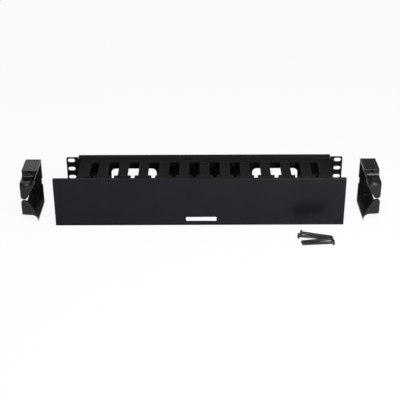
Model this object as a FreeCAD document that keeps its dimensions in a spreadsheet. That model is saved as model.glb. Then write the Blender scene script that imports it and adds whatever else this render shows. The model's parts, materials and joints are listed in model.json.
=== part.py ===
import FreeCAD, Part
import math
import os
import Sketcher

# Horizontal cable manager for a 19-inch rack, two units tall, with its two end rings and their screws.
# Millimetres. X runs along the manager, +Y into the rack, +Z up.
# The origin is the centre of the ears' slot pattern on the ears' rear face, where they meet the rack.

doc = FreeCAD.newDocument("cable_manager")
sheet = doc.addObject("Spreadsheet::Sheet", "sizes")

sizes = {
    # folded steel panel with rack ears
    "panelWidth": 482.6,
    "panelHeight": 88.1,
    "sheet": 1.5,
    "panelCorner": 3.0,
    "earSlotSpacing": 465.1,
    "earSlotLength": 12.3,
    "earSlotHeight": 7.0,
    "outerSlotRise": 76.2,
    "middleSlotRise": 44.45,
    "innerSlotRise": 12.7,
    "flangeWidth": 440.0,
    "flangeDepth": 8.5,
    "bendRadius": 2.2,
    "reliefWidth": 1.6,
    "reliefDepth": 4.0,
    "portCentre": 123.8,
    "portWidth": 79.4,
    "portHeight": 43.9,
    "portCorner": 8.0,
    # moulded finger rails
    "railWidth": 429.2,
    "railInset": 2.1,
    "railDepth": 74.5,
    "railWall": 2.5,
    "railWallHeight": 17.0,
    "fingerSheet": 3.0,
    "fingerPitch": 34.5,
    "slotsPerSide": 5,
    "slotWidth": 17.9,
    "slotRootWidth": 13.6,
    "slotRoot": 13.6,
    "slotShoulder": 4.5,
    "slotCorner": 1.6,
    "neckWidth": 6.2,
    "headCorner": 1.8,
    "headDepth": 6.7,
    "headHeight": 14.0,
    "endSlotWidth": 14.0,
    "endNeckWidth": 4.6,
    "railBend": 4.0,
    "rimWidth": 1.4,
    "fingerRecess": 0.8,
    "headRecess": 1.6,
    "gussetThickness": 2.0,
    # rivets that hold the rails to the panel
    "rivetShank": 1.6,
    "rivetHole": 1.7,
    "rivetHead": 3.6,
    "rivetHeadHeight": 1.2,
    "rivetTail": 2.7,
    "rivetTailHeight": 0.9,
    # hinge barrels on the second finger from each end, and the cover's hooks
    "barrelRadius": 2.0,
    "barrelReach": 5.5,
    "barrelDrop": 2.5,
    "barrelLength": 18.0,
    "hingeRib": 1.6,
    "hingeRibPitch": 7.0,
    "ribDip": 0.5,
    "hookClearance": 0.35,
    "hookWall": 1.5,
    "hookWidth": 4.6,
    "hookLip": 2.2,
    # cover, slid a little to the left of the panel
    "coverWidth": 490.5,
    "coverShift": -8.6,
    "floorGap": 0.25,
    "coverSheet": 2.0,
    "coverGap": 3.5,
    "lipDepth": 6.0,
    "lipThickness": 2.0,
    "lipProud": 1.5,
    "coverCorner": 2.0,
    # end rings
    "ringWidth": 26.5,
    "ringHeight": 84.0,
    "leftRingX": -299.2,
    "rightRingX": 285.4,
    "blockDepth": 45.0,
    "armDepth": 73.0,
    "armDrop": 10.0,
    "armWall": 3.2,
    "ringBackWall": 4.0,
    "armCorner": 6.0,
    "flareWidth": 13.0,
    "flareForward": 4.0,
    "mouthSlit": 2.8,
    "mouthSlitLength": 10.0,
    "mouthHeight": 74.0,
    "lobeCorner": 5.0,
    "topRecess": 0.5,
    "topBorder": 4.5,
    "corePocketWidth": 9.0,
    "corePocketLength": 16.0,
    "corePocketDepth": 3.0,
    "edgeNotchHeight": 13.0,
    "edgeNotchDepth": 1.5,
    # long screws for the rings
    "screwLength": 50.8,
    "screwShank": 2.4,
    "screwHole": 2.75,
    "screwHead": 4.75,
    "screwHeadHeight": 3.2,
    "screwPoint": 1.2,
    "driveWidth": 1.1,
    "driveSpan": 5.0,
    "driveDepth": 1.8,
}
for row, (alias, number) in enumerate(sizes.items(), start=1):
    sheet.set(f"A{row}", alias)
    sheet.set(f"B{row}", str(number))
    sheet.setAlias(f"B{row}", alias)
doc.recompute()

# heights and depths that several pieces share, written once in terms of the sheet
half_height = "sizes.panelHeight / 2"
rail_top = "(sizes.panelHeight / 2 - sizes.railInset)"
panel_front = "-sizes.sheet"
rail_front = "(-sizes.sheet - sizes.railDepth)"
head_back = "(-sizes.sheet - sizes.railDepth + sizes.headDepth)"
hinge_y = "(-sizes.sheet - sizes.railDepth - sizes.barrelReach)"
hinge_z = "(sizes.panelHeight / 2 - sizes.railInset - sizes.barrelDrop)"
hinge_x = "(sizes.slotsPerSide * sizes.fingerPitch)"
rivet_z = "(sizes.panelHeight / 2 - sizes.railInset - sizes.railWallHeight * 0.6)"
rivet_places = ["1.5 * sizes.fingerPitch", "4.5 * sizes.fingerPitch", "6 * sizes.fingerPitch"]
cover_back = f"({hinge_y} - sizes.coverGap)"
cover_half = "(sizes.panelHeight / 2 - sizes.floorGap)"


def value(expression):
    number = sheet.evalExpression(expression)
    return float(getattr(number, "Value", number))


def new_body(label):
    body = doc.addObject("PartDesign::Body", label)
    body.Label = label
    return body


def new_sketch(body, plane, offset=None):
    sketch = body.newObject("Sketcher::SketchObject", "sketch")
    origin_plane = [item for item in body.Origin.OriginFeatures if item.Role == plane][0]
    sketch.AttachmentSupport = [(origin_plane, "")]
    sketch.MapMode = "FlatFace"
    if offset is not None:
        sketch.setExpression("AttachmentOffset.Base.z", offset)
    return sketch


def pin_point(sketch, index, position, x, y):
    """Tie one point of the sketch to the sheet, measured from the origin."""
    for kind, expression in (("DistanceX", x), ("DistanceY", y)):
        number = sketch.addConstraint(
            Sketcher.Constraint(kind, -1, 1, index, position, value(expression)))
        sketch.setExpression(f"Constraints[{number}]", expression)


def outline(sketch, corners):
    """A closed outline from (x, y) or (x, y, corner radius), each an expression of the sheet."""
    spots = [FreeCAD.Vector(value(corner[0]), value(corner[1]), 0) for corner in corners]
    count = len(corners)
    radii = [value(corner[2]) if len(corner) > 2 else 0.0 for corner in corners]
    starts, ends, arcs = [], [], {}
    for i, spot in enumerate(spots):
        before = (spots[i - 1] - spot).normalize()
        after = (spots[(i + 1) % count] - spot).normalize()
        if radii[i] == 0:
            starts.append(spot)
            ends.append(spot)
            continue
        half_turn = before.getAngle(after) / 2
        run = radii[i] / math.tan(half_turn)
        starts.append(spot + before * run)
        ends.append(spot + after * run)
        centre = spot + (before + after).normalize() * (radii[i] / math.sin(half_turn))
        middle = spot + (centre - spot).normalize() * (radii[i] / math.sin(half_turn) - radii[i])
        arcs[i] = Part.Arc(starts[i], middle, ends[i])
    lines = []
    for i in range(count):
        lines.append(sketch.addGeometry(Part.LineSegment(ends[i], starts[(i + 1) % count])))
    for i, corner in enumerate(corners):
        if i not in arcs:
            sketch.addConstraint(Sketcher.Constraint("Coincident", lines[i - 1], 2, lines[i], 1))
            pin_point(sketch, lines[i], 1, corner[0], corner[1])
            continue
        arc = sketch.addGeometry(arcs[i].toShape().Curve.trim(*arcs[i].toShape().ParameterRange))
        arc_start = sketch.getPoint(arc, 1)
        near, far = (1, 2) if arc_start.isEqual(starts[i], 1e-6) else (2, 1)
        sketch.addConstraint(Sketcher.Constraint("Tangent", lines[i - 1], 2, arc, near))
        sketch.addConstraint(Sketcher.Constraint("Tangent", arc, far, lines[i], 1))
        number = sketch.addConstraint(Sketcher.Constraint("Radius", arc, radii[i]))
        sketch.setExpression(f"Constraints[{number}]", corner[2])
        point = sketch.addGeometry(Part.Point(spots[i]), True)
        pin_point(sketch, point, 1, corner[0], corner[1])
        sketch.addConstraint(Sketcher.Constraint("PointOnObject", point, 1, lines[i - 1]))
        sketch.addConstraint(Sketcher.Constraint("PointOnObject", point, 1, lines[i]))


def box_outline(sketch, left, right, bottom, top, corner=None):
    spots = [(left, bottom), (right, bottom), (right, top), (left, top)]
    outline(sketch, [spot + (corner,) if corner else spot for spot in spots])


def circle(sketch, x, y, radius):
    spot = FreeCAD.Vector(value(x), value(y), 0)
    index = sketch.addGeometry(Part.Circle(spot, FreeCAD.Vector(0, 0, 1), value(radius)))
    pin_point(sketch, index, 3, x, y)
    number = sketch.addConstraint(Sketcher.Constraint("Radius", index, value(radius)))
    sketch.setExpression(f"Constraints[{number}]", radius)


def pad(body, sketch, length, both_ways=False, backwards=False):
    feature = body.newObject("PartDesign::Pad", "pad")
    feature.Profile = sketch
    feature.Midplane = both_ways
    feature.Reversed = backwards
    feature.setExpression("Length", length)
    return feature


def pocket(body, sketch, depth, both_ways=False, backwards=False):
    feature = body.newObject("PartDesign::Pocket", "pocket")
    feature.Profile = sketch
    feature.Midplane = both_ways
    feature.Reversed = backwards
    feature.setExpression("Length", depth)
    return feature


def mirror(body, features, plane):
    feature = body.newObject("PartDesign::Mirrored", "mirror")
    feature.Originals = features
    feature.MirrorPlane = ([item for item in body.Origin.OriginFeatures if item.Role == plane][0], [""])
    body.Tip = feature
    return feature


def row(body, features, axis, length, count):
    feature = body.newObject("PartDesign::LinearPattern", "row")
    feature.Originals = features
    feature.Direction = ([item for item in body.Origin.OriginFeatures if item.Role == axis][0], [""])
    feature.setExpression("Length", length)
    feature.setExpression("Occurrences", count)
    body.Tip = feature
    return feature


x_axis = FreeCAD.Vector(1, 0, 0)
y_axis = FreeCAD.Vector(0, 1, 0)
z_axis = FreeCAD.Vector(0, 0, 1)


# Panel: one folded sheet. The ears carry six oblong slots each, the top and bottom edges fold back
# into the rack between the ears, and two wide ports let cables through to the rear.
def make_panel():
    body = new_body("back_panel")
    plate = new_sketch(body, "XZ_Plane")
    box_outline(plate, "-sizes.panelWidth / 2", "sizes.panelWidth / 2", f"-{half_height}", half_height,
                "sizes.panelCorner")
    pad(body, plate, "sizes.sheet")

    fold = new_sketch(body, "YZ_Plane")
    outer = "sizes.bendRadius"
    inner = "sizes.bendRadius - sizes.sheet"
    outline(fold, [
        (panel_front, f"{half_height} - sizes.reliefDepth"),
        (panel_front, half_height, outer),
        ("sizes.flangeDepth", half_height),
        ("sizes.flangeDepth", f"{half_height} - sizes.sheet"),
        ("0", f"{half_height} - sizes.sheet", inner),
        ("0", f"{half_height} - sizes.reliefDepth")])
    corner = new_sketch(body, "YZ_Plane")
    box_outline(corner, f"{panel_front} - 1", "1", f"{half_height} - sizes.reliefDepth", f"{half_height} + 1")
    clear_edge = pocket(body, corner, "sizes.flangeWidth + 2 * sizes.reliefWidth", both_ways=True)
    flange = pad(body, fold, "sizes.flangeWidth", both_ways=True)
    mirror(body, [clear_edge, flange], "XY_Plane")

    slots = new_sketch(body, "XZ_Plane")
    for rise in ("sizes.outerSlotRise", "sizes.middleSlotRise", "sizes.innerSlotRise"):
        box_outline(slots,
                    "sizes.earSlotSpacing / 2 - sizes.earSlotLength / 2",
                    "sizes.earSlotSpacing / 2 + sizes.earSlotLength / 2",
                    f"{rise} / 2 - sizes.earSlotHeight / 2",
                    f"{rise} / 2 + sizes.earSlotHeight / 2",
                    "sizes.earSlotHeight / 2 - 0.01")
    ear_slots = pocket(body, slots, "3 * sizes.sheet", both_ways=True)
    mirrored = body.newObject("PartDesign::MultiTransform", "ear_slots")
    mirrored.Originals = [ear_slots]
    steps = []
    for plane in ("YZ_Plane", "XY_Plane"):
        step = body.newObject("PartDesign::Mirrored", "step")
        step.MirrorPlane = ([item for item in body.Origin.OriginFeatures if item.Role == plane][0], [""])
        steps.append(step)
    mirrored.Transformations = steps
    body.Tip = mirrored

    port = new_sketch(body, "XZ_Plane")
    box_outline(port, "sizes.portCentre - sizes.portWidth / 2", "sizes.portCentre + sizes.portWidth / 2",
                "-sizes.portHeight / 2", "sizes.portHeight / 2", "sizes.portCorner")
    port_hole = pocket(body, port, "3 * sizes.sheet", both_ways=True)
    mirror(body, [port_hole], "YZ_Plane")

    holes = new_sketch(body, "XZ_Plane")
    for x in rivet_places:
        for side in ("", "-"):
            circle(holes, x, f"{side}{rivet_z}", "sizes.rivetHole")
    rivet_holes = pocket(body, holes, "3 * sizes.sheet", both_ways=True)
    mirror(body, [rivet_holes], "YZ_Plane")
    return body


# Finger rail: one moulding. Its wall stands on the panel, its fingers reach forward and end in T-heads
# that nearly meet, so that a patch cord slips in through the neck and stays in the slot.
def slot_corners(centre, width, root_width, neck_left, neck_right):
    shoulder = "-sizes.sheet - sizes.slotRoot - sizes.slotShoulder"
    root = "-sizes.sheet - sizes.slotRoot"
    front = f"{rail_front} - 1"
    return [
        (f"{centre} - {root_width} / 2", root, "sizes.slotCorner"),
        (f"{centre} - {width} / 2", shoulder, "sizes.slotCorner"),
        (f"{centre} - {width} / 2", head_back, "sizes.slotCorner"),
        (neck_left, head_back, "sizes.headCorner"),
        (neck_left, front),
        (neck_right, front),
        (neck_right, head_back, "sizes.headCorner"),
        (f"{centre} + {width} / 2", head_back, "sizes.slotCorner"),
        (f"{centre} + {width} / 2", shoulder, "sizes.slotCorner"),
        (f"{centre} + {root_width} / 2", root, "sizes.slotCorner")]


def make_upper_rail():
    body = new_body("upper_finger_rail")
    under = f"{rail_top} - sizes.fingerSheet"
    wall_front = "-sizes.sheet - sizes.railWall"
    finger_start = "-sizes.sheet - sizes.slotRoot - sizes.slotShoulder"
    finger_end = f"{head_back} + sizes.rimWidth"
    finger_half = "(sizes.fingerPitch - sizes.slotWidth) / 2"
    head_half = "(sizes.fingerPitch - sizes.neckWidth) / 2"
    end_centre = f"({hinge_x} + {finger_half} + sizes.endSlotWidth / 2)"
    neck = f"({hinge_x} + {head_half})"

    section = new_sketch(body, "YZ_Plane")
    outline(section, [
        (panel_front, rail_top, "1"),
        (panel_front, f"{rail_top} - sizes.railWallHeight"),
        (wall_front, f"{rail_top} - sizes.railWallHeight"),
        (wall_front, under, "sizes.railBend"),
        (head_back, under, "1"),
        (head_back, f"{rail_top} - sizes.headHeight"),
        (rail_front, f"{rail_top} - sizes.headHeight"),
        (rail_front, rail_top, "1")])
    pad(body, section, "sizes.railWidth", both_ways=True)

    # hinge: three ribs on the second head from each end carry a barrel ahead of it
    hinge_parts = []
    for place in ("- sizes.hingeRibPitch", "", "+ sizes.hingeRibPitch"):
        rib = new_sketch(body, "YZ_Plane", f"{hinge_x} {place} - sizes.hingeRib / 2")
        outline(rib, [
            (f"{rail_front} + 1", f"{hinge_z} - sizes.ribDip"),
            (f"{rail_front} + 1", f"{rail_top} - sizes.headHeight"),
            (rail_front, f"{rail_top} - sizes.headHeight"),
            (f"{hinge_y} - sizes.barrelRadius", f"{hinge_z} - sizes.barrelRadius", "1"),
            (f"{hinge_y} - sizes.barrelRadius", f"{hinge_z} - sizes.ribDip")])
        hinge_parts.append(pad(body, rib, "sizes.hingeRib"))
    barrel = new_sketch(body, "YZ_Plane", f"{hinge_x} - sizes.barrelLength / 2")
    circle(barrel, hinge_y, hinge_z, "sizes.barrelRadius")
    hinge_parts.append(pad(body, barrel, "sizes.barrelLength"))
    mirror(body, hinge_parts, "YZ_Plane")

    # gussets stiffen the wall behind every finger
    gusset = new_sketch(body, "YZ_Plane", f"-{hinge_x} - sizes.gussetThickness / 2")
    outline(gusset, [
        (f"{wall_front} + 0.5", f"{under} + 0.5"),
        (f"{wall_front} + 0.5", f"{rail_top} - sizes.railWallHeight"),
        (f"{wall_front} - 1", f"{rail_top} - sizes.railWallHeight"),
        (finger_start, under),
        (finger_start, f"{under} + 0.5")])
    one_gusset = pad(body, gusset, "sizes.gussetThickness")
    row(body, [one_gusset], "X_Axis", f"2 * {hinge_x}", "2 * sizes.slotsPerSide + 1")

    holes = new_sketch(body, "XZ_Plane")
    for x in rivet_places:
        circle(holes, x, rivet_z, "sizes.rivetHole")
    rivet_holes = pocket(body, holes, "4 * (sizes.sheet + sizes.railWall)", both_ways=True)
    mirror(body, [rivet_holes], "YZ_Plane")

    # shallow recesses leave a raised rim round the end fingers, the hinge fingers and the others
    end_finger = new_sketch(body, "XY_Plane", f"{rail_top} - sizes.fingerRecess")
    box_outline(end_finger, f"{end_centre} + sizes.endSlotWidth / 2 + sizes.rimWidth",
                "sizes.railWidth / 2 - sizes.rimWidth", finger_end, "-sizes.sheet - sizes.railWall", "1.5")
    end_head = new_sketch(body, "XY_Plane", f"{rail_top} - sizes.headRecess")
    box_outline(end_head, f"{neck} + sizes.endNeckWidth + sizes.rimWidth",
                "sizes.railWidth / 2 - sizes.rimWidth",
                f"{rail_front} + sizes.rimWidth", f"{head_back} - sizes.rimWidth", "0.8")
    hinge_finger = new_sketch(body, "XY_Plane", f"{rail_top} - sizes.fingerRecess")
    outline(hinge_finger, [
        (f"{hinge_x} - {finger_half} + sizes.rimWidth", finger_start, "1.5"),
        (f"{hinge_x} - {finger_half} + sizes.rimWidth", finger_end, "6"),
        (f"{hinge_x} + {finger_half} - sizes.rimWidth", finger_end, "1.5"),
        (f"{hinge_x} + {finger_half} - sizes.rimWidth", finger_start, "1.5")])
    end_recesses = [pocket(body, sketch, "sizes.fingerSheet", backwards=True)
                    for sketch in (end_finger, end_head, hinge_finger)]
    # the hinge heads are open from above between their ribs
    for side in ("-", "+"):
        window = new_sketch(body, "XY_Plane", f"{rail_top} - sizes.headRecess")
        middle = f"({hinge_x} {side} sizes.hingeRibPitch / 2)"
        half_window = "(sizes.hingeRibPitch - sizes.hingeRib) / 2"
        box_outline(window, f"{middle} - {half_window}", f"{middle} + {half_window}",
                    f"{rail_front} + sizes.rimWidth", f"{head_back} - sizes.rimWidth")
        end_recesses.append(pocket(body, window, "sizes.fingerSheet", backwards=True))
    mirror(body, end_recesses, "YZ_Plane")

    last = "(-(sizes.slotsPerSide - 1) * sizes.fingerPitch)"
    shank = new_sketch(body, "XY_Plane", f"{rail_top} - sizes.fingerRecess")
    box_outline(shank, f"{last} - {finger_half} + sizes.rimWidth", f"{last} + {finger_half} - sizes.rimWidth",
                finger_end, finger_start, "1.5")
    head = new_sketch(body, "XY_Plane", f"{rail_top} - sizes.headRecess")
    box_outline(head, f"{last} - {head_half} + sizes.rimWidth", f"{last} + {head_half} - sizes.rimWidth",
                f"{rail_front} + sizes.rimWidth", f"{head_back} - sizes.rimWidth", "0.8")
    recesses = [pocket(body, sketch, "sizes.fingerSheet", backwards=True) for sketch in (shank, head)]
    row(body, recesses, "X_Axis", "(2 * sizes.slotsPerSide - 2) * sizes.fingerPitch", "2 * sizes.slotsPerSide - 1")

    # the outermost slots are narrower and sit against the hinge fingers
    end_slot = new_sketch(body, "XY_Plane")
    outline(end_slot, slot_corners(end_centre, "sizes.endSlotWidth",
                                   "(sizes.endSlotWidth - sizes.slotWidth + sizes.slotRootWidth)",
                                   neck, f"{neck} + sizes.endNeckWidth"))
    end_cut = pocket(body, end_slot, "sizes.panelHeight", backwards=True)
    mirror(body, [end_cut], "YZ_Plane")
    first = "(-(sizes.slotsPerSide - 0.5) * sizes.fingerPitch)"
    slot = new_sketch(body, "XY_Plane")
    outline(slot, slot_corners(first, "sizes.slotWidth", "sizes.slotRootWidth",
                               f"{first} - sizes.neckWidth / 2", f"{first} + sizes.neckWidth / 2"))
    slot_cut = pocket(body, slot, "sizes.panelHeight", backwards=True)
    row(body, [slot_cut], "X_Axis", "(2 * sizes.slotsPerSide - 1) * sizes.fingerPitch", "2 * sizes.slotsPerSide")
    return body


def mirrored_copy(label, source, normal, base_x=None):
    copy = doc.addObject("Part::Mirroring", label)
    copy.Label = label
    copy.Source = source
    copy.Normal = normal
    if base_x is not None:
        copy.setExpression("Base.x", base_x)
    return copy


# Rivet: domed head behind the panel, flattened tail in front of the rail's wall.
def make_rivet(label, x, z):
    body = new_body(label)
    profile = new_sketch(body, "XY_Plane")
    grip = "(sizes.sheet + sizes.railWall)"
    outline(profile, [
        ("0", f"-{grip} - sizes.rivetTailHeight"),
        ("sizes.rivetTail", f"-{grip} - sizes.rivetTailHeight", "0.3"),
        ("sizes.rivetTail", f"-{grip}"),
        ("sizes.rivetShank", f"-{grip}"),
        ("sizes.rivetShank", "0"),
        ("sizes.rivetHead", "0"),
        ("sizes.rivetHead", "sizes.rivetHeadHeight", "0.9"),
        ("0", "sizes.rivetHeadHeight")])
    turned = body.newObject("PartDesign::Revolution", "turned")
    turned.Profile = profile
    turned.ReferenceAxis = (profile, ["V_Axis"])
    turned.Angle = 360
    body.setExpression(".Placement.Base.x", x)
    body.setExpression(".Placement.Base.z", z)
    return body


# Cover: one moulding with a lip along its top and bottom edges, and hooks on its back that snap over
# the barrels. It turns on the upper barrels, and the lower hooks hold it shut.
def make_cover():
    body = new_body("cover_panel")
    section = new_sketch(body, "YZ_Plane", "sizes.coverShift")
    plate_front = f"{cover_back} - sizes.coverSheet"
    lip_front = f"{plate_front} - sizes.lipProud"
    lip_back = f"{lip_front} + sizes.lipDepth"
    lip_under = f"{cover_half} - sizes.lipThickness"
    outline(section, [
        (lip_front, cover_half, "1.2"),
        (lip_back, cover_half, "0.6"),
        (lip_back, lip_under, "0.6"),
        (cover_back, lip_under),
        (cover_back, f"-({lip_under})"),
        (lip_back, f"-({lip_under})", "0.6"),
        (lip_back, f"-{cover_half}", "0.6"),
        (lip_front, f"-{cover_half}", "1.2"),
        (lip_front, f"-({lip_under})", "0.4"),
        (plate_front, f"-({lip_under})"),
        (plate_front, lip_under),
        (lip_front, lip_under, "0.4")])
    pad(body, section, "sizes.coverWidth", both_ways=True)
    corners = new_sketch(body, "XZ_Plane")
    for sign in ("-", ""):
        edge = f"(sizes.coverShift + {sign or '+'}sizes.coverWidth / 2)"
        outwards = "-" if sign else "+"
        inwards = "+" if sign else "-"
        outline(corners, [
            (f"{edge} {inwards} 3 * sizes.coverCorner", cover_half),
            (edge, cover_half, "sizes.coverCorner"),
            (edge, f"{cover_half} - 3 * sizes.coverCorner"),
            (f"{edge} {outwards} 1", f"{cover_half} - 3 * sizes.coverCorner"),
            (f"{edge} {outwards} 1", f"{cover_half} + 1"),
            (f"{edge} {inwards} 3 * sizes.coverCorner", f"{cover_half} + 1")])
    rounded = pocket(body, corners, "4 * sizes.railDepth", both_ways=True)
    mirror(body, [rounded], "XY_Plane")

    hooks = []
    reach = "(sizes.barrelRadius + sizes.hookClearance + sizes.hookWall)"
    for side in ("+", "-"):
        hook = new_sketch(body, "YZ_Plane",
                          f"{hinge_x} {side} sizes.hingeRibPitch / 2 - sizes.hookWidth / 2")
        bore = "(sizes.barrelRadius + sizes.hookClearance)"
        outline(hook, [
            (f"{cover_back} - 0.5", f"{hinge_z} + {reach}"),
            (f"{hinge_y} + sizes.hookLip", f"{hinge_z} + {reach}", "1"),
            (f"{hinge_y} + sizes.hookLip", f"{hinge_z} + {bore}", "0.3"),
            (f"{hinge_y} - {bore}", f"{hinge_z} + {bore}", f"{bore} - 0.01"),
            (f"{hinge_y} - {bore}", f"{hinge_z} - {bore}", f"{bore} - 0.01"),
            (f"{hinge_y} + sizes.hookLip", f"{hinge_z} - {bore}", "0.3"),
            (f"{hinge_y} + sizes.hookLip", f"{hinge_z} - {reach}", "1"),
            (f"{cover_back} - 0.5", f"{hinge_z} - {reach}")])
        hooks.append(pad(body, hook, "sizes.hookWidth"))
    all_hooks = body.newObject("PartDesign::MultiTransform", "hooks")
    all_hooks.Originals = hooks
    steps = []
    for plane in ("YZ_Plane", "XY_Plane"):
        step = body.newObject("PartDesign::Mirrored", "step")
        step.MirrorPlane = ([item for item in body.Origin.OriginFeatures if item.Role == plane][0], [""])
        steps.append(step)
    all_hooks.Transformations = steps
    body.Tip = all_hooks
    return body


# End ring: one moulding, open on both sides, with a split front. Its two rear blocks carry the long
# screws. On the side towards the manager the arms and lobes flare out in a quarter ellipse.
def flare_section(body, step, steps, inside):
    share = step / steps
    spread = f"(1 - sqrt(1 - {share * share}))"
    place = f"sizes.ringWidth / 2 - sizes.flareWidth * {1 - share}"
    arm_half = "sizes.ringHeight / 2 - sizes.armDrop"
    front = f"-sizes.armDepth - sizes.flareForward * {spread}"
    rise = f"sizes.armDrop * {spread}"
    sketch = new_sketch(body, "YZ_Plane", place)
    if inside:
        back = "-sizes.ringBackWall"
        half = f"({arm_half} - sizes.armWall + {rise})"
        box_outline(sketch, f"{front} + sizes.armWall", back, f"-{half}", half, "sizes.armCorner - sizes.armWall / 2")
    else:
        back = "-sizes.ringBackWall"
        half = f"({arm_half} + {rise})"
        box_outline(sketch, front, back, f"-{half}", half, "sizes.armCorner")
    return sketch


def loft(body, kind, sections):
    feature = body.newObject(kind, "flare")
    feature.Profile = sections[0]
    feature.Sections = sections[1:]
    feature.Ruled = False
    return feature


def make_left_ring():
    body = new_body("end_ring_left")
    side = "sizes.ringWidth / 2"
    half = "sizes.ringHeight / 2"
    arm_half = f"({half} - sizes.armDrop)"
    block = new_sketch(body, "YZ_Plane")
    box_outline(block, "-sizes.blockDepth", "0", f"-{half}", half, "1")
    pad(body, block, "sizes.ringWidth", both_ways=True)
    arms = new_sketch(body, "YZ_Plane")
    box_outline(arms, "-sizes.armDepth", "-sizes.ringBackWall", f"-{arm_half}", arm_half, "sizes.armCorner")
    pad(body, arms, "sizes.ringWidth", both_ways=True)
    stations = (0.0, 0.55, 0.85, 1.0)
    loft(body, "PartDesign::AdditiveLoft", [flare_section(body, share, 1.0, False) for share in stations])

    cavity = new_sketch(body, "YZ_Plane")
    cavity_half = f"({arm_half} - sizes.armWall)"
    box_outline(cavity, "-sizes.armDepth + sizes.armWall", "-sizes.ringBackWall",
                f"-{cavity_half}", cavity_half, "sizes.armCorner - sizes.armWall / 2")
    pocket(body, cavity, "sizes.ringWidth + 2", both_ways=True)
    loft(body, "PartDesign::SubtractiveLoft", [flare_section(body, share, 1.0, True) for share in stations])

    mouth = new_sketch(body, "XZ_Plane", "sizes.armDepth - 3 * sizes.armWall")
    slit = "sizes.mouthSlit / 2"
    v_start = f"-{side} + sizes.mouthSlitLength"
    far = f"{side} + 1"
    outline(mouth, [
        (f"-{side} - 1", f"-{slit}"),
        (v_start, f"-{slit}", "8"),
        (far, "-sizes.mouthHeight / 2"),
        (far, "sizes.mouthHeight / 2"),
        (v_start, slit, "8"),
        (f"-{side} - 1", slit)])
    pocket(body, mouth, "6 * sizes.armWall", backwards=True)

    top = new_sketch(body, "XY_Plane", f"{half} - sizes.topRecess")
    box_outline(top, f"-{side} + sizes.topBorder", f"{side} - sizes.topBorder / 2",
                "-sizes.blockDepth - 1", "-1.5")
    top_recess = pocket(body, top, "sizes.topRecess + 1", backwards=True)
    core = new_sketch(body, "XY_Plane", f"{cavity_half} + sizes.corePocketDepth")
    box_outline(core, "-sizes.corePocketWidth / 2 - 1", "sizes.corePocketWidth / 2 - 1",
                "-sizes.ringBackWall - 1 - sizes.corePocketLength", "-sizes.ringBackWall - 1", "1")
    core_pocket = pocket(body, core, "sizes.corePocketDepth + 1")
    hole = new_sketch(body, "XZ_Plane")
    circle(hole, "0", "sizes.outerSlotRise / 2", "sizes.screwHole")
    screw_hole = pocket(body, hole, "2 * sizes.blockDepth + 2", both_ways=True)
    mirror(body, [top_recess, core_pocket, screw_hole], "XY_Plane")

    notch = new_sketch(body, "XZ_Plane")
    box_outline(notch, f"{side} - sizes.edgeNotchDepth", f"{side} + 1",
                "-sizes.edgeNotchHeight / 2", "sizes.edgeNotchHeight / 2")
    pocket(body, notch, "2 * sizes.ringBackWall + 2", both_ways=True)
    body.setExpression(".Placement.Base.x", "sizes.leftRingX")
    body.setExpression(".Placement.Base.z", "-sizes.panelHeight / 2 + sizes.ringHeight / 2")
    return body


# Long screw: pan head with a cross drive. It lies on the floor on its head's rim and its point.
def make_screw(label, x, y, turn):
    body = new_body(label)
    profile = new_sketch(body, "XZ_Plane")
    outline(profile, [
        ("0", "sizes.screwLength"),
        ("0", "-sizes.screwHeadHeight"),
        ("sizes.screwHead", "-sizes.screwHeadHeight", "1.8"),
        ("sizes.screwHead", "0"),
        ("sizes.screwShank", "0"),
        ("sizes.screwShank", "sizes.screwLength - sizes.screwPoint"),
        ("sizes.screwShank - sizes.screwPoint", "sizes.screwLength")])
    turned = body.newObject("PartDesign::Revolution", "turned")
    turned.Profile = profile
    turned.ReferenceAxis = (profile, ["V_Axis"])
    turned.Angle = 360
    drive = new_sketch(body, "XY_Plane", "-sizes.screwHeadHeight")
    half_span = "sizes.driveSpan / 2"
    half_width = "sizes.driveWidth / 2"
    outline(drive, [
        (f"-{half_width}", f"-{half_span}"), (half_width, f"-{half_span}"), (half_width, f"-{half_width}"),
        (half_span, f"-{half_width}"), (half_span, half_width), (half_width, half_width),
        (half_width, half_span), (f"-{half_width}", half_span), (f"-{half_width}", half_width),
        (f"-{half_span}", half_width), (f"-{half_span}", f"-{half_width}"), (f"-{half_width}", f"-{half_width}")])
    pocket(body, drive, "sizes.driveDepth", backwards=True)
    tilt = math.degrees(math.asin((value("sizes.screwHead") - value("sizes.screwShank"))
                                  / value("sizes.screwLength")))
    lay_down = FreeCAD.Rotation(y_axis, 90 + tilt)
    body.Placement = FreeCAD.Placement(FreeCAD.Vector(x, y, 0), FreeCAD.Rotation(z_axis, turn) * lay_down)
    doc.recompute()
    lowest = body.Shape.BoundBox.ZMin
    body.Placement.Base.z = -value(half_height) - lowest
    return body


panel = make_panel()
upper_rail = make_upper_rail()
lower_rail = mirrored_copy("lower_finger_rail", upper_rail, z_axis)
cover = make_cover()
left_ring = make_left_ring()
right_ring = mirrored_copy("end_ring_right", left_ring, x_axis, "(sizes.leftRingX + sizes.rightRingX) / 2")

subparts = [panel, upper_rail, lower_rail, cover, left_ring, right_ring]
for rail, side in (("upper", ""), ("lower", "-")):
    across = [f"-{x}" for x in reversed(rivet_places)] + rivet_places
    for i, x in enumerate(across, start=1):
        subparts.append(make_rivet(f"{rail}_rail_rivet_{i}", x, f"{side}{rivet_z}"))

# head position on the floor and the way each screw points, in degrees from +X
for i, (x, y, turn) in enumerate([(162.2, -124.0, -12), (157.0, -134.5, -5), (208.5, -145.0, 186),
                                  (209.5, -156.5, 180.5)]):
    subparts.append(make_screw(f"ring_screw_{i + 1}", x, y, turn))

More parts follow.
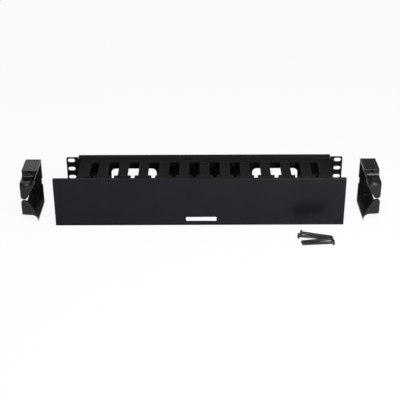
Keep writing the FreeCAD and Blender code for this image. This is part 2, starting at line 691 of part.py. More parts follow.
doc.recompute()
for item in doc.Objects:
    if "Invalid" in item.State or "Error" in item.State:
        raise RuntimeError(f"{item.Label} ({item.Name}) failed: {item.State}")
os.makedirs("parts", exist_ok=True)
for item in subparts:
    shape = item.Shape
    if shape.isNull() or not shape.isValid():
        raise RuntimeError(f"{item.Label} has no valid shape")
    shape.exportStep(f"parts/{item.Label}.step")
    box = shape.BoundBox
    print(f"{item.Label}: {len(shape.Solids)} solid, {shape.Volume:.0f} mm3, "
          f"X {box.XMin:.1f}..{box.XMax:.1f} Y {box.YMin:.1f}..{box.YMax:.1f} Z {box.ZMin:.1f}..{box.ZMax:.1f}")
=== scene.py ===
import json
import math

import bmesh
import bpy
from mathutils import Matrix, Quaternion, Vector


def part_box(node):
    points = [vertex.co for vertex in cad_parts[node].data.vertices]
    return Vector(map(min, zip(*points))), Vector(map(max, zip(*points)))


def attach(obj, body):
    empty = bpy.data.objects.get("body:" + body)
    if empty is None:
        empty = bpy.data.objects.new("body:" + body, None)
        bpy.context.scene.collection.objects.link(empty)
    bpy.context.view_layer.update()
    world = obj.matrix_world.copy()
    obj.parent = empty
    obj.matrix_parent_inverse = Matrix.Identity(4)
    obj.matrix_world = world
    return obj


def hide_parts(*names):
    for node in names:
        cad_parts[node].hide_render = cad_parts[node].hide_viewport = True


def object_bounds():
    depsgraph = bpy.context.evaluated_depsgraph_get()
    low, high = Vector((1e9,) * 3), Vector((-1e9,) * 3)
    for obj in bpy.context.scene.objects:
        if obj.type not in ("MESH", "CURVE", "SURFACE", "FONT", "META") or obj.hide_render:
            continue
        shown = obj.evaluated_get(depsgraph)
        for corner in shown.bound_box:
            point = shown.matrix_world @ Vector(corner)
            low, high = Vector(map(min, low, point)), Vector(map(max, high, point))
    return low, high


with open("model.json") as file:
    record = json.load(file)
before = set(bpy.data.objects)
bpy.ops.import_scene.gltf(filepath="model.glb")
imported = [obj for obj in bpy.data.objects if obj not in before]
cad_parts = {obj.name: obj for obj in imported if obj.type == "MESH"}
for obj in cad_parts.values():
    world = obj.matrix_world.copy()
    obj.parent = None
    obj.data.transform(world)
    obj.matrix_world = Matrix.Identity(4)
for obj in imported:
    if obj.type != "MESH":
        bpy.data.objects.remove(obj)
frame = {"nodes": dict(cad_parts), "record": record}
cadLow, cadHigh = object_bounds()
nodes = frame["nodes"]
mm = 0.001
print("frame loaded:", len(nodes), "nodes")


view = dict(                           # the camera
    place=(-6.28, -1477.36, 728.17),   # mm, in the object's frame
    target=(-7.96, -1.5, -40.59),
    roll=-0.22,                        # degrees, right side slightly high
    lens=83.8,
)


def makeCamera():
    data = bpy.data.cameras.new("camera")
    data.lens = view["lens"]
    data.sensor_width = 36
    data.clip_start = 0.05
    data.clip_end = 60
    camera = bpy.data.objects.new("camera", data)
    bpy.context.scene.collection.objects.link(camera)
    place = Vector(view["place"]) * mm
    look = (Vector(view["target"]) * mm - place).to_track_quat("-Z", "Y")
    camera.rotation_mode = "QUATERNION"
    camera.rotation_quaternion = look @ Quaternion((0, 0, 1), math.radians(view["roll"]))
    camera.location = place
    bpy.context.scene.camera = camera


studio = dict(                         # a white floor, a white room and soft lamps
    floorSize=14,
    floorColor=0.82,
    floorRoughness=0.9,
    floorSpecular=0.1,
    shadowShare=0.09,      # how much of the floor's own shading stays in the white
    mirrorShare=0.85,      # and how much of it where the floor is seen in a gloss
    worldFill=0.28,        # what the room gives as soft light
    worldWhite=1.0,        # what is seen of it, direct or mirrored, near the floor
    worldFrom=0.05,        # where the room starts to dim, as the direction's z
    worldTo=0.4,
    worldHigh=0.13,        # and higher up, where the room is dim
)
lamps = [
    # name, place, target, size, power (W), colour
    ("overhead", (0.05, -0.78, 1.7), (0.05, -0.1, 0), (1.6, 0.9), 11, (1.0, 0.99, 0.98)),
    ("strip", (0.0, -0.95, 1.72), (0, -0.07, 0), (1.7, 0.16), 7, (1.0, 0.99, 0.98)),
    ("frontRight", (0.42, -0.85, 0.5), (0.2, -0.15, 0), (0.5, 0.4), 8, (0.93, 0.97, 1.0)),
    ("backLeft", (-0.72, 1.35, 0.85), (-0.25, 0, 0), (0.5, 0.45), 0.7, (1.0, 0.98, 0.94)),
]


def seenDirectly(nodeTree):
    path = nodeTree.nodes.new("ShaderNodeLightPath")
    first = nodeTree.nodes.new("ShaderNodeMath")
    first.operation = "MAXIMUM"
    nodeTree.links.new(path.outputs["Is Camera Ray"], first.inputs[0])
    nodeTree.links.new(path.outputs["Is Glossy Ray"], first.inputs[1])
    second = nodeTree.nodes.new("ShaderNodeMath")
    second.operation = "MAXIMUM"
    nodeTree.links.new(first.outputs[0], second.inputs[0])
    nodeTree.links.new(path.outputs["Is Transmission Ray"], second.inputs[1])
    return second.outputs[0]


def makeWorld():
    world = bpy.data.worlds.new("studio")
    bpy.context.scene.world = world
    world.use_nodes = True
    tree = world.node_tree
    background = tree.nodes["Background"]
    background.inputs["Color"].default_value = (1, 1, 1, 1)
    direction = tree.nodes.new("ShaderNodeTexCoord")
    parts = tree.nodes.new("ShaderNodeSeparateXYZ")
    tree.links.new(direction.outputs["Generated"], parts.inputs["Vector"])
    height = tree.nodes.new("ShaderNodeMapRange")
    height.interpolation_type = "SMOOTHSTEP"
    height.inputs["From Min"].default_value = studio["worldFrom"]
    height.inputs["From Max"].default_value = studio["worldTo"]
    height.inputs["To Min"].default_value = studio["worldWhite"]
    height.inputs["To Max"].default_value = studio["worldHigh"]
    tree.links.new(parts.outputs["Z"], height.inputs["Value"])
    level = tree.nodes.new("ShaderNodeMapRange")
    level.inputs["To Min"].default_value = studio["worldFill"]
    tree.links.new(height.outputs["Result"], level.inputs["To Max"])
    tree.links.new(seenDirectly(tree), level.inputs["Value"])
    tree.links.new(level.outputs["Result"], background.inputs["Strength"])


def makeFloor():
    half = studio["floorSize"] / 2
    mesh = bpy.data.meshes.new("floor")
    z = cadLow.z
    mesh.from_pydata([(-half, -half, z), (half, -half, z), (half, half, z), (-half, half, z)],
                     [], [(0, 1, 2, 3)])
    floor = bpy.data.objects.new("floor", mesh)
    bpy.context.scene.collection.objects.link(floor)
    material = bpy.data.materials.new("whiteSheet")
    material.use_nodes = True
    tree = material.node_tree
    surface = tree.nodes["Principled BSDF"]
    surface.inputs["Base Color"].default_value = (studio["floorColor"],) * 3 + (1,)
    surface.inputs["Roughness"].default_value = studio["floorRoughness"]
    surface.inputs["Specular IOR Level"].default_value = studio["floorSpecular"]
    glow = tree.nodes.new("ShaderNodeEmission")
    mix = tree.nodes.new("ShaderNodeMixShader")
    path = tree.nodes.new("ShaderNodeLightPath")
    ownWhite = tree.nodes.new("ShaderNodeMapRange")
    ownWhite.inputs["To Min"].default_value = 1 - studio["shadowShare"]
    ownWhite.inputs["To Max"].default_value = 1 - studio["mirrorShare"]
    tree.links.new(path.outputs["Is Glossy Ray"], ownWhite.inputs["Value"])
    share = tree.nodes.new("ShaderNodeMath")
    share.operation = "MULTIPLY"
    tree.links.new(seenDirectly(tree), share.inputs[0])
    tree.links.new(ownWhite.outputs["Result"], share.inputs[1])
    tree.links.new(share.outputs[0], mix.inputs[0])
    tree.links.new(surface.outputs[0], mix.inputs[1])
    tree.links.new(glow.outputs[0], mix.inputs[2])
    tree.links.new(mix.outputs[0], tree.nodes["Material Output"].inputs["Surface"])
    mesh.materials.append(material)


def makeLamps():
    for name, place, target, size, power, color in lamps:
        data = bpy.data.lights.new(name, "AREA")
        data.shape = "RECTANGLE"
        data.size, data.size_y = size
        data.energy = power
        data.color = color
        lamp = bpy.data.objects.new(name, data)
        lamp.location = place
        lamp.rotation_mode = "QUATERNION"
        lamp.rotation_quaternion = (Vector(target) - Vector(place)).to_track_quat("-Z", "Y")
        lamp.visible_camera = False
        bpy.context.scene.collection.objects.link(lamp)


makeCamera()
makeWorld()
makeFloor()
makeLamps()
bpy.context.scene.view_settings.view_transform = "Standard"
print("camera and studio made")


def newGroup(name, inputs, outputs):
    group = bpy.data.node_groups.new(name, "ShaderNodeTree")
    for label, kind, value in inputs:
        socket = group.interface.new_socket(label, in_out="INPUT", socket_type=kind)
        socket.default_value = value
    for label, kind in outputs:
        group.interface.new_socket(label, in_out="OUTPUT", socket_type=kind)
    start = group.nodes.new("NodeGroupInput")
    end = group.nodes.new("NodeGroupOutput")
    return group, start, end


# fine moulded or sprayed grain, as a height between 0 and 1
def makeGrain():
    group, start, end = newGroup("surfaceGrain", [
        ("Grain per mm", "NodeSocketFloat", 2.0), ("Softness", "NodeSocketFloat", 0.5)],
        [("Height", "NodeSocketFloat"), ("Mottle", "NodeSocketFloat")])
    links = group.links
    place = group.nodes.new("ShaderNodeTexCoord")
    scale = group.nodes.new("ShaderNodeMath")
    scale.operation = "MULTIPLY"
    scale.inputs[1].default_value = 1000
    links.new(start.outputs["Grain per mm"], scale.inputs[0])
    cells = group.nodes.new("ShaderNodeTexVoronoi")
    cells.feature = "SMOOTH_F1"
    links.new(place.outputs["Object"], cells.inputs["Vector"])
    links.new(scale.outputs[0], cells.inputs["Scale"])
    links.new(start.outputs["Softness"], cells.inputs["Smoothness"])
    grit = group.nodes.new("ShaderNodeTexNoise")
    grit.inputs["Detail"].default_value = 3
    links.new(place.outputs["Object"], grit.inputs["Vector"])
    links.new(scale.outputs[0], grit.inputs["Scale"])
    both = group.nodes.new("ShaderNodeMix")
    both.data_type = "FLOAT"
    both.inputs[0].default_value = 0.45
    links.new(cells.outputs["Distance"], both.inputs[2])
    links.new(grit.outputs["Fac"], both.inputs[3])
    links.new(both.outputs[0], end.inputs["Height"])
    wide = group.nodes.new("ShaderNodeTexNoise")
    wide.inputs["Scale"].default_value = 22
    wide.inputs["Detail"].default_value = 4
    wide.inputs["Roughness"].default_value = 0.6
    links.new(place.outputs["Object"], wide.inputs["Vector"])
    links.new(wide.outputs["Fac"], end.inputs["Mottle"])
    return group


# 1 along outer edges that a mould or a hand has rounded, 0 on the flats; the finishes paint a highlight colour
# along it
def makeEdgeMask():
    group, start, end = newGroup("edgeMask", [("Width mm", "NodeSocketFloat", 0.6)],
                                 [("Edge", "NodeSocketFloat"), ("Normal", "NodeSocketVector")])
    links = group.links
    width = group.nodes.new("ShaderNodeMath")
    width.operation = "MULTIPLY"
    width.inputs[1].default_value = mm
    links.new(start.outputs["Width mm"], width.inputs[0])
    rounding = group.nodes.new("ShaderNodeBevel")
    rounding.samples = wearAndEdgeSheen["edgeSamples"]
    links.new(width.outputs[0], rounding.inputs["Radius"])
    flat = group.nodes.new("ShaderNodeNewGeometry")
    turn = group.nodes.new("ShaderNodeVectorMath")
    turn.operation = "DOT_PRODUCT"
    links.new(rounding.outputs["Normal"], turn.inputs[0])
    links.new(flat.outputs["True Normal"], turn.inputs[1])
    ramp = group.nodes.new("ShaderNodeMapRange")
    ramp.inputs["From Min"].default_value = wearAndEdgeSheen["edgeFrom"]
    ramp.inputs["From Max"].default_value = wearAndEdgeSheen["edgeFull"]
    links.new(turn.outputs["Value"], ramp.inputs["Value"])
    links.new(ramp.outputs["Result"], end.inputs["Edge"])
    links.new(rounding.outputs["Normal"], end.inputs["Normal"])
    return group


wearAndEdgeSheen = dict(                           # shared by all finishes; the edge settings also place the painted edge highlight
    mottleLow=0.3,
    mottleHigh=0.7,
    edgePolish=0.75,                   # share of the roughness left on rubbed edges
    unevenness=0.06,
    bumpStrength=0.6,
    edgeSamples=6,
    edgeFrom=0.995,                    # how far the rounded normal leans at an edge's start
    edgeFull=0.80,
)
# each finish's edge colour, lighter than its colour, is a painted highlight along rounded edges
finishes = {
    "panel_paint": dict(color=(0.0068, 0.0066, 0.0063), edgeHighlightColor=(0.022, 0.0215, 0.021), mottle=0.25,
                        roughness=0.46, specular=0.08, grain=1.6, depth=0.03, edge=0.7),
    "rail_plastic": dict(color=(0.0070, 0.0069, 0.0065), edgeHighlightColor=(0.030, 0.029, 0.028), mottle=0.25,
                         roughness=0.60, specular=0.11, grain=2.4, depth=0.03, edge=0.6),
    "cover_plastic": dict(color=(0.0058, 0.0068, 0.0088), edgeHighlightColor=(0.020, 0.020, 0.022), mottle=0.15,
                          roughness=0.22, specular=0.17, grain=3.0, depth=0.006, edge=0.6),
    "ring_plastic": dict(color=(0.0045, 0.0049, 0.0060), edgeHighlightColor=(0.085, 0.085, 0.088), mottle=0.2,
                         roughness=0.20, specular=0.38, grain=2.4, depth=0.001, edge=1.1,
                         insideSpecular=0.10, insideRougher=0.4),
    "rivet_steel": dict(color=(0.016, 0.0155, 0.015), edgeHighlightColor=(0.05, 0.05, 0.05), mottle=0.3,
                        roughness=0.42, specular=0.4, grain=1.6, depth=0.02, edge=0.3),
    "screw_steel": dict(color=(0.010, 0.0092, 0.0088), edgeHighlightColor=(0.06, 0.057, 0.054), mottle=0.4,
                        roughness=0.36, specular=0.5, grain=3.0, depth=0.01, edge=0.25, metallic=0.35),
}


def makeFinish(slot, settings, grain, edgeMask):
    material = bpy.data.materials.new(slot)
    material.use_nodes = True
    tree = material.node_tree
    links = tree.links
    surface = tree.nodes["Principled BSDF"]
    grit = tree.nodes.new("ShaderNodeGroup")
    grit.node_tree = grain
    grit.inputs["Grain per mm"].default_value = settings["grain"]
    rim = tree.nodes.new("ShaderNodeGroup")
    rim.node_tree = edgeMask
    rim.inputs["Width mm"].default_value = settings["edge"]

    shade = tree.nodes.new("ShaderNodeMapRange")       # slow change of tone over the part
    shade.inputs["From Min"].default_value = wearAndEdgeSheen["mottleLow"]
    shade.inputs["From Max"].default_value = wearAndEdgeSheen["mottleHigh"]
    shade.inputs["To Min"].default_value = 1 - settings["mottle"]
    shade.inputs["To Max"].default_value = 1 + settings["mottle"]
    links.new(grit.outputs["Mottle"], shade.inputs["Value"])
    tone = tree.nodes.new("ShaderNodeVectorMath")
    tone.operation = "SCALE"
    tone.inputs[0].default_value = settings["color"]
    links.new(shade.outputs["Result"], tone.inputs["Scale"])
    # painted highlight: the lighter edge colour is mixed into the base colour along rounded edges
    color = tree.nodes.new("ShaderNodeMix")
    color.data_type = "RGBA"
    color.inputs[7].default_value = settings["edgeHighlightColor"] + (1,)
    links.new(rim.outputs["Edge"], color.inputs[0])
    links.new(tone.outputs["Vector"], color.inputs[6])
    links.new(color.outputs[2], surface.inputs["Base Color"])

    polish = tree.nodes.new("ShaderNodeMapRange")      # rubbed edges are a little smoother
    polish.inputs["To Min"].default_value = settings["roughness"]
    polish.inputs["To Max"].default_value = settings["roughness"] * wearAndEdgeSheen["edgePolish"]
    links.new(rim.outputs["Edge"], polish.inputs["Value"])
    uneven = tree.nodes.new("ShaderNodeMath")
    uneven.operation = "MULTIPLY_ADD"
    uneven.inputs[1].default_value = wearAndEdgeSheen["unevenness"]
    links.new(grit.outputs["Mottle"], uneven.inputs[0])
    links.new(polish.outputs["Result"], uneven.inputs[2])
    links.new(uneven.outputs[0], surface.inputs["Roughness"])

    bump = tree.nodes.new("ShaderNodeBump")
    bump.inputs["Distance"].default_value = settings["depth"] * mm
    bump.inputs["Strength"].default_value = wearAndEdgeSheen["bumpStrength"]
    links.new(grit.outputs["Height"], bump.inputs["Height"])
    links.new(rim.outputs["Normal"], bump.inputs["Normal"])
    links.new(bump.outputs["Normal"], surface.inputs["Normal"])
    surface.inputs["Specular IOR Level"].default_value = settings["specular"]
    if "insideSpecular" in settings:                    # the hollow side gets less specular and more roughness, which keeps it darker
        hollow = tree.nodes.new("ShaderNodeAttribute")
        hollow.attribute_name = "inside"
        dull = tree.nodes.new("ShaderNodeMapRange")
        dull.inputs["To Min"].default_value = settings["specular"]
        dull.inputs["To Max"].default_value = settings["insideSpecular"]
        links.new(hollow.outputs["Fac"], dull.inputs["Value"])
        links.new(dull.outputs["Result"], surface.inputs["Specular IOR Level"])
        matt = tree.nodes.new("ShaderNodeMath")
        matt.operation = "MULTIPLY_ADD"
        matt.inputs[1].default_value = settings["insideRougher"]
        links.new(hollow.outputs["Fac"], matt.inputs[0])
        links.new(uneven.outputs[0], matt.inputs[2])
        links.new(matt.outputs[0], surface.inputs["Roughness"])
    surface.inputs["Metallic"].default_value = settings.get("metallic", 0)
    return material


grainGroup = makeGrain()
edgeGroup = makeEdgeMask()
material = {slot: makeFinish(slot, settings, grainGroup, edgeGroup) for slot, settings in finishes.items()}
slotOf = {part["node"]: part["material_slot"] for part in frame["record"]["subparts"]}
for name, node in nodes.items():
    node.data.materials.clear()
    node.data.materials.append(material[slotOf[name]])
print("finishes assigned:", len(material))

panel = dict(                          # mm; the cuts beside the flanges, nearly closed by the bend
    cutFrom=220.5,
    cutTo=222.5,
    cutBottom=39.5,
    closedTo=220.4,
)


def makePanel():
    mesh = nodes["back_panel"].data.copy()
    for vertex in mesh.vertices:
        x, z = abs(vertex.co.x) / mm, abs(vertex.co.z) / mm
        if panel["cutFrom"] < x < panel["cutTo"] and z > panel["cutBottom"]:
            vertex.co.x = math.copysign(panel["closedTo"] * mm, vertex.co.x)
    piece = bpy.data.objects.new("foldedPanel", mesh)
    bpy.context.scene.collection.objects.link(piece)
    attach(piece, "manager")
    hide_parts("back_panel")


makePanel()
print("panel folded")


rings = dict(                          # mm; x runs from the outer side to the flare
    places=[("end_ring_left", -299.2, 1), ("end_ring_right", 285.4, -1)],
    width=26.5,
    height=84.0,
    blockDepth=45.0,
    armDepth=73.0,
    armDrop=11.5,                      # how far the arms lie inside the blocks
    wall=3.0,
    backWall=4.0,
    chamfer=3.8,
    chamferRound=1.0,
    cavityRound=4.0,
    crown=1.8,                         # the lobes' fronts are slightly round
    flareWidth=13.0,
    flareForward=4.0,
    stations=16,
    slit=1.3,                          # half of the mouth's slit
    slitLength=10.0,
    mouthHalf=37.0,
    lobeRound=5.0,
    mouthRound=8.0,
    seatFillet=5.0,
    tipDrop=0.3,                       # the flare ends just inside the block
    holeRise=38.1,
    holeRadius=2.75,
    recess=0.6,
    border=4.5,
    coreWidth=9.0,
    coreLength=16.0,
    coreDepth=2.6,
    notchHeight=13.0,
    notchDepth=1.5,
    arcSteps=6,
    straightSteps=6,
    holeSteps=32,
    merge=0.002,
    sharpAngle=28,                     # degrees
)


# a closed outline whose corners (a, b, radius) are rounded off
def rounded(corners, steps):
    points = []
    for number, corner in enumerate(corners):
        here = Vector(corner[:2])
        radius = corner[2] if len(corner) > 2 else 0
        if not radius:
            points.append(here)
            continue
        before = (Vector(corners[number - 1][:2]) - here).normalized()
        after = (Vector(corners[(number + 1) % len(corners)][:2]) - here).normalized()
        half = before.angle(after) / 2
        reach = radius / math.tan(half)
        centre = here + (before + after).normalized() * (radius / math.sin(half))
        first = here + before * reach - centre
        last = here + after * reach - centre
        sweep = math.atan2(first.x * last.y - first.y * last.x, first.dot(last))
        for step in range(steps + 1):
            turn = sweep * step / steps
            points.append(centre + Vector((first.x * math.cos(turn) - first.y * math.sin(turn),
                                           first.x * math.sin(turn) + first.y * math.cos(turn))))
    return points


# a closed skin through rings of points that all have the same count
def skin(name, sections):
    work = bmesh.new()
    loops = [[work.verts.new(Vector(point) * mm) for point in section] for section in sections]
    count = len(loops[0])
    for one, two in zip(loops, loops[1:]):
        for i in range(count):
            work.faces.new((one[i], one[(i + 1) % count], two[(i + 1) % count], two[i]))
    work.faces.new(loops[0])
    work.faces.new(loops[-1])
    bmesh.ops.recalc_face_normals(work, faces=work.faces)
    mesh = bpy.data.meshes.new(name)
    work.to_mesh(mesh)
    work.free()
    piece = bpy.data.objects.new(name, mesh)
    bpy.context.scene.collection.objects.link(piece)
    return piece


def alongX(name, outline, low, high):
    return skin(name, [[(x, y, z) for y, z in outline] for x in (low, high)])


def alongY(name, outline, low, high):
    return skin(name, [[(x, y, z) for x, z in outline] for y in (low, high)])


def alongZ(name, outline, low, high):
    return skin(name, [[(x, y, z) for x, y in outline] for z in (low, high)])


def combine(piece, tool, operation):
    step = piece.modifiers.new(operation, "BOOLEAN")
    step.operation = operation
    step.solver = "EXACT"
    step.object = tool
    bpy.context.view_layer.update()
    mesh = bpy.data.meshes.new_from_object(piece.evaluated_get(bpy.context.evaluated_depsgraph_get()))
    piece.modifiers.clear()
    old = piece.data
    piece.data = mesh
    bpy.data.meshes.remove(old)
    bpy.data.objects.remove(tool)


def ringBody(r):
    side = r["width"] / 2
    half = r["height"] / 2
    armHalf = half - r["armDrop"]
    spots = [(-side, 0.0)]             # x and share of the flare, 0 to 1
    for step in range(1, r["straightSteps"] + 1):
        spots.append((-side + (r["width"] - r["flareWidth"]) * step / r["straightSteps"], 0.0))
    for step in range(1, r["stations"] + 1):
        share = math.sin(math.pi / 2 * step / r["stations"])
        spots.append((side - r["flareWidth"] * (1 - share), share))

    def section(x, share, inset, chamfer, corner, crown):
        rise = 1 - math.sqrt(max(0.0, 1 - share * share))
        front = -r["armDepth"] + inset - r["flareForward"] * rise
        high = armHalf - inset + (r["armDrop"] - r["tipDrop"]) * rise
        front -= crown * (1 - (x / side) ** 2) * (1 - rise)
        if chamfer:
            outline = rounded([(-r["backWall"] / 2, -high), (-r["backWall"] / 2, high),
                               (front + chamfer, high, corner), (front, high - chamfer, corner),
                               (front, -high + chamfer, corner), (front + chamfer, -high, corner)], 3)
        else:
            outline = rounded([(-r["backWall"], -high), (-r["backWall"], high),
                               (front, high, corner), (front, -high, corner)], r["arcSteps"])
        return [(x, y, z) for y, z in outline]

    body = skin("ring", [section(x, share, 0, r["chamfer"], r["chamferRound"], r["crown"])
                         for x, share in spots])
    inside = [(-side - 1, 0.0)] + spots[1:-1] + [(side + 0.02, 1.0)]
    cavity = skin("cavity", [section(x, share, r["wall"], 0, r["cavityRound"], 0) for x, share in inside])

    for sign in (1, -1):
        block = rounded([(0, sign * half, 0.6), (-r["blockDepth"], sign * half, 0.6),
                         (-r["blockDepth"], sign * armHalf, r["seatFillet"]),
                         (-r["blockDepth"] - r["seatFillet"] - 0.05, sign * armHalf),
                         (-r["blockDepth"] - r["seatFillet"] - 0.05, sign * (armHalf - 1)),
                         (0, sign * (armHalf - 1))], r["arcSteps"])
        combine(body, alongX("block", block, -side, side), "UNION")
    back = [(-r["backWall"], -half + 2), (0, -half + 2), (0, half - 2), (-r["backWall"], half - 2)]
    combine(body, alongX("back", back, -side, side), "UNION")
    combine(body, cavity, "DIFFERENCE")

    tip = r["slit"] + r["lobeRound"] + 0.01
    start = -side + r["slitLength"]
    mouth = rounded([(-side - 3, -tip), (-side, -tip), (-side, -r["slit"], r["lobeRound"]),
                     (start, -r["slit"], r["mouthRound"]), (side + 3, -r["mouthHalf"]),
                     (side + 3, r["mouthHalf"]), (start, r["slit"], r["mouthRound"]),
                     (-side, r["slit"], r["lobeRound"]), (-side, tip), (-side - 3, tip)], r["arcSteps"])
    combine(body, alongY("mouth", mouth, -r["armDepth"] - 12, -r["armDepth"] + 3 * r["wall"]), "DIFFERENCE")

    for sign in (1, -1):
        centre = sign * r["holeRise"]
        turns = [math.tau * i / r["holeSteps"] for i in range(r["holeSteps"])]
        circle = [(r["holeRadius"] * math.cos(turn), centre + r["holeRadius"] * math.sin(turn)) for turn in turns]
        combine(body, alongY("hole", circle, -r["blockDepth"] - 1, 1), "DIFFERENCE")
        face = sorted((sign * (half - r["recess"]), sign * (half + 1)))
        sunk = [(-side + r["border"], -r["blockDepth"] - 1), (side - r["border"] / 2, -r["blockDepth"] - 1),
                (side - r["border"] / 2, -1.5), (-side + r["border"], -1.5)]
        combine(body, alongZ("recess", sunk, *face), "DIFFERENCE")
        inner = armHalf - r["wall"]
        pocket = rounded([(-r["coreWidth"] / 2 - 1, -r["backWall"] - 1 - r["coreLength"], 1),
                          (r["coreWidth"] / 2 - 1, -r["backWall"] - 1 - r["coreLength"], 1),
                          (r["coreWidth"] / 2 - 1, -r["backWall"] - 1, 1),
                          (-r["coreWidth"] / 2 - 1, -r["backWall"] - 1, 1)], 3)
        ends = sorted((sign * (inner - 1), sign * (inner + r["coreDepth"])))
        combine(body, alongZ("core", pocket, *ends), "DIFFERENCE")
    notch = [(side - r["notchDepth"], -r["notchHeight"] / 2), (side + 2, -r["notchHeight"] / 2),
             (side + 2, r["notchHeight"] / 2), (side - r["notchDepth"], r["notchHeight"] / 2)]
    combine(body, alongY("notch", notch, -r["backWall"] - 1, 1), "DIFFERENCE")
    return body


def makeRings():
    body = ringBody(rings)
    for name, x, hand in rings["places"]:
        middle = Vector((x * mm, 0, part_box(name)[0].z + rings["height"] * mm / 2))
        work = bmesh.new()
        work.from_mesh(body.data)
        bmesh.ops.remove_doubles(work, verts=work.verts, dist=rings["merge"] * mm)
        bmesh.ops.dissolve_degenerate(work, edges=work.edges, dist=rings["merge"] * mm)
        for vertex in work.verts:
            vertex.co = Vector((middle.x + hand * vertex.co.x, vertex.co.y, middle.z + vertex.co.z))
        bmesh.ops.recalc_face_normals(work, faces=work.faces)
        bmesh.ops.triangulate(work, faces=[face for face in work.faces if len(face.verts) > 4])
        mesh = bpy.data.meshes.new("moulded_" + name)
        work.to_mesh(mesh)
        unclosed = sum(1 for edge in work.edges if not edge.is_manifold)
        work.free()
        mesh.polygons.foreach_set("use_smooth", [True] * len(mesh.polygons))
        mesh.set_sharp_from_angle(angle=math.radians(rings["sharpAngle"]))
        mesh.materials.append(material["ring_plastic"])
        middle.y = -rings["armDepth"] * mm / 2
        hollow = mesh.attributes.new("inside", "FLOAT", "FACE")
        for face in mesh.polygons:
            out = face.center - middle
            hollow.data[face.index].value = float(face.normal.dot(Vector((0, out.y, out.z))) < 0)
        piece = bpy.data.objects.new("moulded_" + name, mesh)
        bpy.context.scene.collection.objects.link(piece)
        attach(piece, "manager")
        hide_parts(name)
        print("ring", name, "faces", len(mesh.polygons), "open edges", unclosed)
    bpy.data.objects.remove(body)


makeRings()


screws = dict(                         # mm and degrees
    places=[(162.2, -124.0, -12), (157.0, -134.5, -5), (208.5, -145.0, 186), (209.5, -156.5, 180.5)],
    length=50.8,
    point=1.2,
    headRadius=4.75,
    crest=2.4,                         # outer radius of the thread
    root=1.95,
    pitch=0.8,
    stepsPerTurn=18,
)


# a three-cornered ridge wound along +Z, the thread of a machine screw
def makeThreadTree():
    tree = bpy.data.node_groups.new("screwThread", "GeometryNodeTree")
    tree.interface.new_socket("Geometry", in_out="OUTPUT", socket_type="NodeSocketGeometry")
    for label, kind in (("Length", "Float"), ("Crest", "Float"), ("Root", "Float"),
                        ("Pitch", "Float"), ("Steps", "Int"), ("Finish", "Material")):
        tree.interface.new_socket(label, in_out="INPUT", socket_type="NodeSocket" + kind)
    start = tree.nodes.new("NodeGroupInput")
    end = tree.nodes.new("NodeGroupOutput")
    links = tree.links

    def calculate(operation, first, second):
        node = tree.nodes.new("ShaderNodeMath")
        node.operation = operation
        for socket, value in zip(node.inputs, (first, second)):
            if isinstance(value, float):
                socket.default_value = value
            else:
                links.new(value, socket)
        return node.outputs[0]

    ridge = calculate("DIVIDE", calculate("SUBTRACT", start.outputs["Crest"], start.outputs["Root"]), 1.5)
    centre = calculate("SUBTRACT", start.outputs["Crest"], ridge)
    spiral = tree.nodes.new("GeometryNodeCurveSpiral")
    links.new(start.outputs["Steps"], spiral.inputs["Resolution"])
    links.new(calculate("DIVIDE", start.outputs["Length"], start.outputs["Pitch"]), spiral.inputs["Rotations"])
    links.new(centre, spiral.inputs["Start Radius"])
    links.new(centre, spiral.inputs["End Radius"])
    links.new(start.outputs["Length"], spiral.inputs["Height"])
    upright = tree.nodes.new("GeometryNodeSetCurveNormal")
    upright.mode = "Z_UP"
    links.new(spiral.outputs["Curve"], upright.inputs["Curve"])
    profile = tree.nodes.new("GeometryNodeCurvePrimitiveCircle")
    profile.inputs["Resolution"].default_value = 3
    links.new(ridge, profile.inputs["Radius"])
    sweep = tree.nodes.new("GeometryNodeCurveToMesh")
    sweep.inputs["Fill Caps"].default_value = True
    links.new(upright.outputs["Curve"], sweep.inputs["Curve"])
    links.new(profile.outputs["Curve"], sweep.inputs["Profile Curve"])
    realize = tree.nodes.new("GeometryNodeRealizeInstances")
    links.new(sweep.outputs["Mesh"], realize.inputs["Geometry"])
    finish = tree.nodes.new("GeometryNodeSetMaterial")
    links.new(realize.outputs["Geometry"], finish.inputs["Geometry"])
    links.new(start.outputs["Finish"], finish.inputs["Material"])
    links.new(finish.outputs["Geometry"], end.inputs["Geometry"])
    return tree


def fromNodes(tree, values):
    holder = bpy.data.objects.new("holder", bpy.data.meshes.new("holder"))
    bpy.context.scene.collection.objects.link(holder)
    modifier = holder.modifiers.new("nodes", "NODES")
    modifier.node_group = tree
    for item in tree.interface.items_tree:
        if item.in_out == "INPUT" and item.name in values:
            modifier[item.identifier] = values[item.name]
    bpy.context.view_layer.update()
    made = holder.evaluated_get(bpy.context.evaluated_depsgraph_get())
    mesh = bpy.data.meshes.new_from_object(made)
    bpy.data.objects.remove(holder)
    return mesh


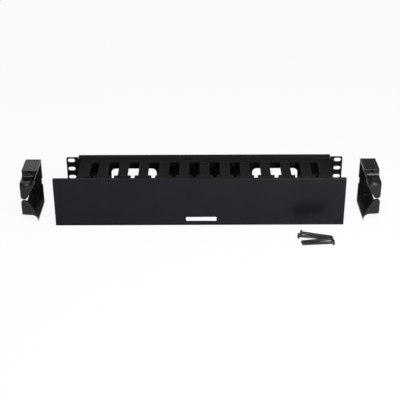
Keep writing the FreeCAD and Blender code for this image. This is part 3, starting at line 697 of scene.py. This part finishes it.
def makeScrews():
    tilt = math.asin((screws["headRadius"] - screws["crest"]) / screws["length"])
    threadLength = screws["length"] - screws["point"] - screws["pitch"]
    thread = fromNodes(makeThreadTree(), {
        "Length": threadLength * mm, "Crest": screws["crest"] * mm, "Root": screws["root"] * mm,
        "Pitch": screws["pitch"] * mm, "Steps": screws["stepsPerTurn"], "Finish": material["screw_steel"]})
    for number, (x, y, turn) in enumerate(screws["places"], start=1):
        name = f"ring_screw_{number}"
        place = (Matrix.Translation((x * mm, y * mm, cadLow.z + screws["headRadius"] * mm * math.cos(tilt)))
                 @ Matrix.Rotation(math.radians(turn), 4, "Z")
                 @ Matrix.Rotation(math.radians(90) + tilt, 4, "Y"))
        work = bmesh.new()
        work.from_mesh(nodes[name].data)
        bmesh.ops.remove_doubles(work, verts=work.verts, dist=0.001 * mm)
        work.transform(place.inverted())
        for vertex in work.verts:          # the smooth shank shrinks to the thread's root
            out = Vector((vertex.co.x, vertex.co.y)).length
            if vertex.co.z > -0.01 * mm and out < (screws["crest"] + 0.05) * mm:
                vertex.co.x *= screws["root"] / screws["crest"]
                vertex.co.y *= screws["root"] / screws["crest"]
        work.from_mesh(thread)
        work.transform(place)
        mesh = bpy.data.meshes.new(f"threadedScrew{number}")
        work.to_mesh(mesh)
        work.free()
        mesh.materials.append(material["screw_steel"])
        piece = bpy.data.objects.new(f"threadedScrew{number}", mesh)
        bpy.context.scene.collection.objects.link(piece)
        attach(piece, "manager")
        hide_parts(name)


makeScrews()
print("screws threaded:", len(screws["places"]))


bar = dict(                            # mm; a plain white print low on the cover
    lipRise=1.5,                       # how far the cover's lips stand before its plate
    left=-31.5,
    right=20.0,
    low=-35.8,
    high=-28.6,
    corner=0.8,
    arcSteps=6,
    thickness=0.12,
    color=(0.80, 0.81, 0.82),
    roughness=0.4,
)


def makeBar():
    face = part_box("cover_panel")[0].y + bar["lipRise"] * mm
    outline = []
    for cornerX, cornerZ, start in ((bar["right"], bar["high"], 0), (bar["left"], bar["high"], 90),
                                    (bar["left"], bar["low"], 180), (bar["right"], bar["low"], 270)):
        inX = cornerX - math.copysign(bar["corner"], cornerX - (bar["left"] + bar["right"]) / 2)
        inZ = cornerZ - math.copysign(bar["corner"], cornerZ - (bar["low"] + bar["high"]) / 2)
        for step in range(bar["arcSteps"] + 1):
            angle = math.radians(start + 90 * step / bar["arcSteps"])
            outline.append((inX + bar["corner"] * math.cos(angle), inZ + bar["corner"] * math.sin(angle)))
    work = bmesh.new()
    ring = [work.verts.new((x * mm, face, z * mm)) for x, z in outline]
    sheet = work.faces.new(ring)
    raised = bmesh.ops.extrude_face_region(work, geom=[sheet])
    bmesh.ops.translate(work, vec=(0, -bar["thickness"] * mm, 0),
                        verts=[item for item in raised["geom"] if isinstance(item, bmesh.types.BMVert)])
    bmesh.ops.recalc_face_normals(work, faces=work.faces)
    mesh = bpy.data.meshes.new("printedBar")
    work.to_mesh(mesh)
    work.free()
    mesh.materials.append(makeFinish("whitePrint", dict(
        color=bar["color"], edgeHighlightColor=bar["color"], mottle=0.03, roughness=bar["roughness"],
        specular=0.3, grain=3.0, depth=0.002, edge=0.05), grainGroup, edgeGroup))
    piece = bpy.data.objects.new("printedBar", mesh)
    bpy.context.scene.collection.objects.link(piece)
    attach(piece, "cover")


makeBar()
print("bar printed")
